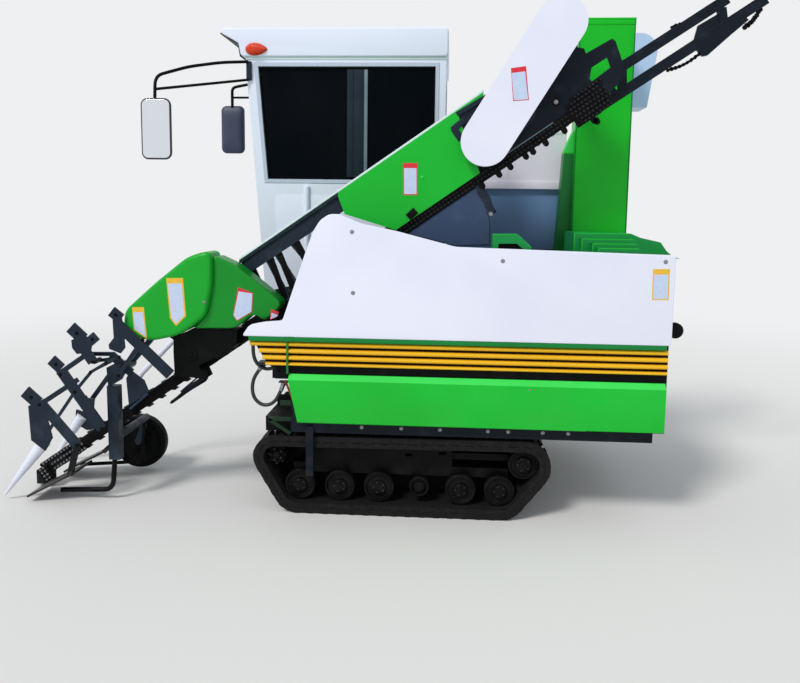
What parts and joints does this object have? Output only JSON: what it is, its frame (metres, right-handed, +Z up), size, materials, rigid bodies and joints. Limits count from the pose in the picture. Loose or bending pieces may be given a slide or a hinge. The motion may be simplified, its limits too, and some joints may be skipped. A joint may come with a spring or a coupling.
{
  "type": "peanut harvester",
  "caption": "Self-propelled peanut harvester on crawler tracks, with a cab, a digging and clamping head on a long sloping chain conveyor, a nut tank and a bucket elevator.",
  "frame": {"origin": "on the ground under the middle of the machine's outer box", "axes": "+X forward, +Y to the machine's left, +Z up"},
  "size_m": [4.6858, 2.03, 3.1378],
  "materials": {
    "white": "gloss",
    "green": "gloss",
    "yellow": "gloss",
    "dark_steel": "satin",
    "grey": "satin",
    "black_steel": "satin",
    "bare_steel": "satin",
    "track_rubber": "matte",
    "hose_rubber": "matte",
    "glass": "gloss",
    "seat": "matte",
    "console": "matte",
    "amber": "gloss",
    "engine": "matte"
  },
  "bodies": {
    "chassis": {"side_panel_left": "white", "side_panel_right": "white", "tank": "white", "elevator_head": "white", "cab_left_wall": "white", "cab_right_wall": "white", "cab_front": "white", "cab_rear": "white", "cab_roof": "white", "lower_panel_left": "green", "lower_panel_right": "green", "rear_hood": "green", "elevator_tower": "green", "grille_left": "yellow", "grille_right": "yellow", "main_frame": "dark_steel", "track_frame_left": "dark_steel", "track_frame_right": "dark_steel", "cab_floor": "dark_steel", "tank_base": "grey", "body_deck": "grey", "rear_panel": "grey", "track_wheels_left": "black_steel", "track_wheels_right": "black_steel", "mirror_left": "black_steel", "mirror_right": "black_steel", "track_left": "track_rubber", "track_right": "track_rubber", "hose_upper": "hose_rubber", "hose_lower": "hose_rubber", "cab_glass": "glass", "seat": "seat", "control_console": "console", "lamps": "amber", "engine_block": "engine"},
    "header": {"conveyor_beam": "dark_steel", "clamp_chain": "black_steel", "chute_cover": "green", "chute_rail": "dark_steel", "drive_guard": "white", "conveyor_plates": "dark_steel", "rear_rails": "dark_steel", "front_cover": "green", "head_gearbox": "dark_steel", "head_frame": "dark_steel", "divider_left": "dark_steel", "divider_right": "dark_steel", "right_strut": "white", "divider_tips": "white", "blades": "bare_steel"},
    "gauge_wheel": {"gauge_wheel": "black_steel"},
    "cab_door": {"cab_door": "white", "cab_door_glass": "glass"},
    "lift_barrel": {"lift_barrel": "black_steel"},
    "lift_rod": {"lift_rod": "bare_steel"}
  },
  "joints": [
    {"name": "header_lift", "type": "hinge", "parent": "chassis", "child": "header", "pos_m": [-1.26, 0.57, 2.7], "axis": [0, -1, 0], "range_deg": [-2, 8]},
    {"name": "gauge_wheel_spin", "type": "hinge", "parent": "header", "child": "gauge_wheel", "pos_m": [1.64, 0.25, 0.215], "axis": [0, 1, 0], "continuous": true},
    {"name": "cab_door_hinge", "type": "hinge", "parent": "chassis", "child": "cab_door", "pos_m": [0.64, -0.992, 1.965], "axis": [0, 0, 1], "range_deg": [0, 85]},
    {"name": "lift_barrel_pivot", "type": "hinge", "parent": "chassis", "child": "lift_barrel", "pos_m": [-0.33, 0.57, 0.78], "axis": [0, -1, 0], "range_deg": [-1.35, 4.8]},
    {"name": "lift_rod_slide", "type": "slide", "parent": "lift_barrel", "child": "lift_rod", "axis": [0.8284, 0, 0.5602], "range_m": [-0.077, 0.3]}
  ],
  "couplings": [
    {"joint": "lift_barrel_pivot", "follows": "header_lift", "ratio": 0.575},
    {"joint": "lift_rod_slide", "follows": "header_lift", "m_per_rad": 2.1}
  ]
}
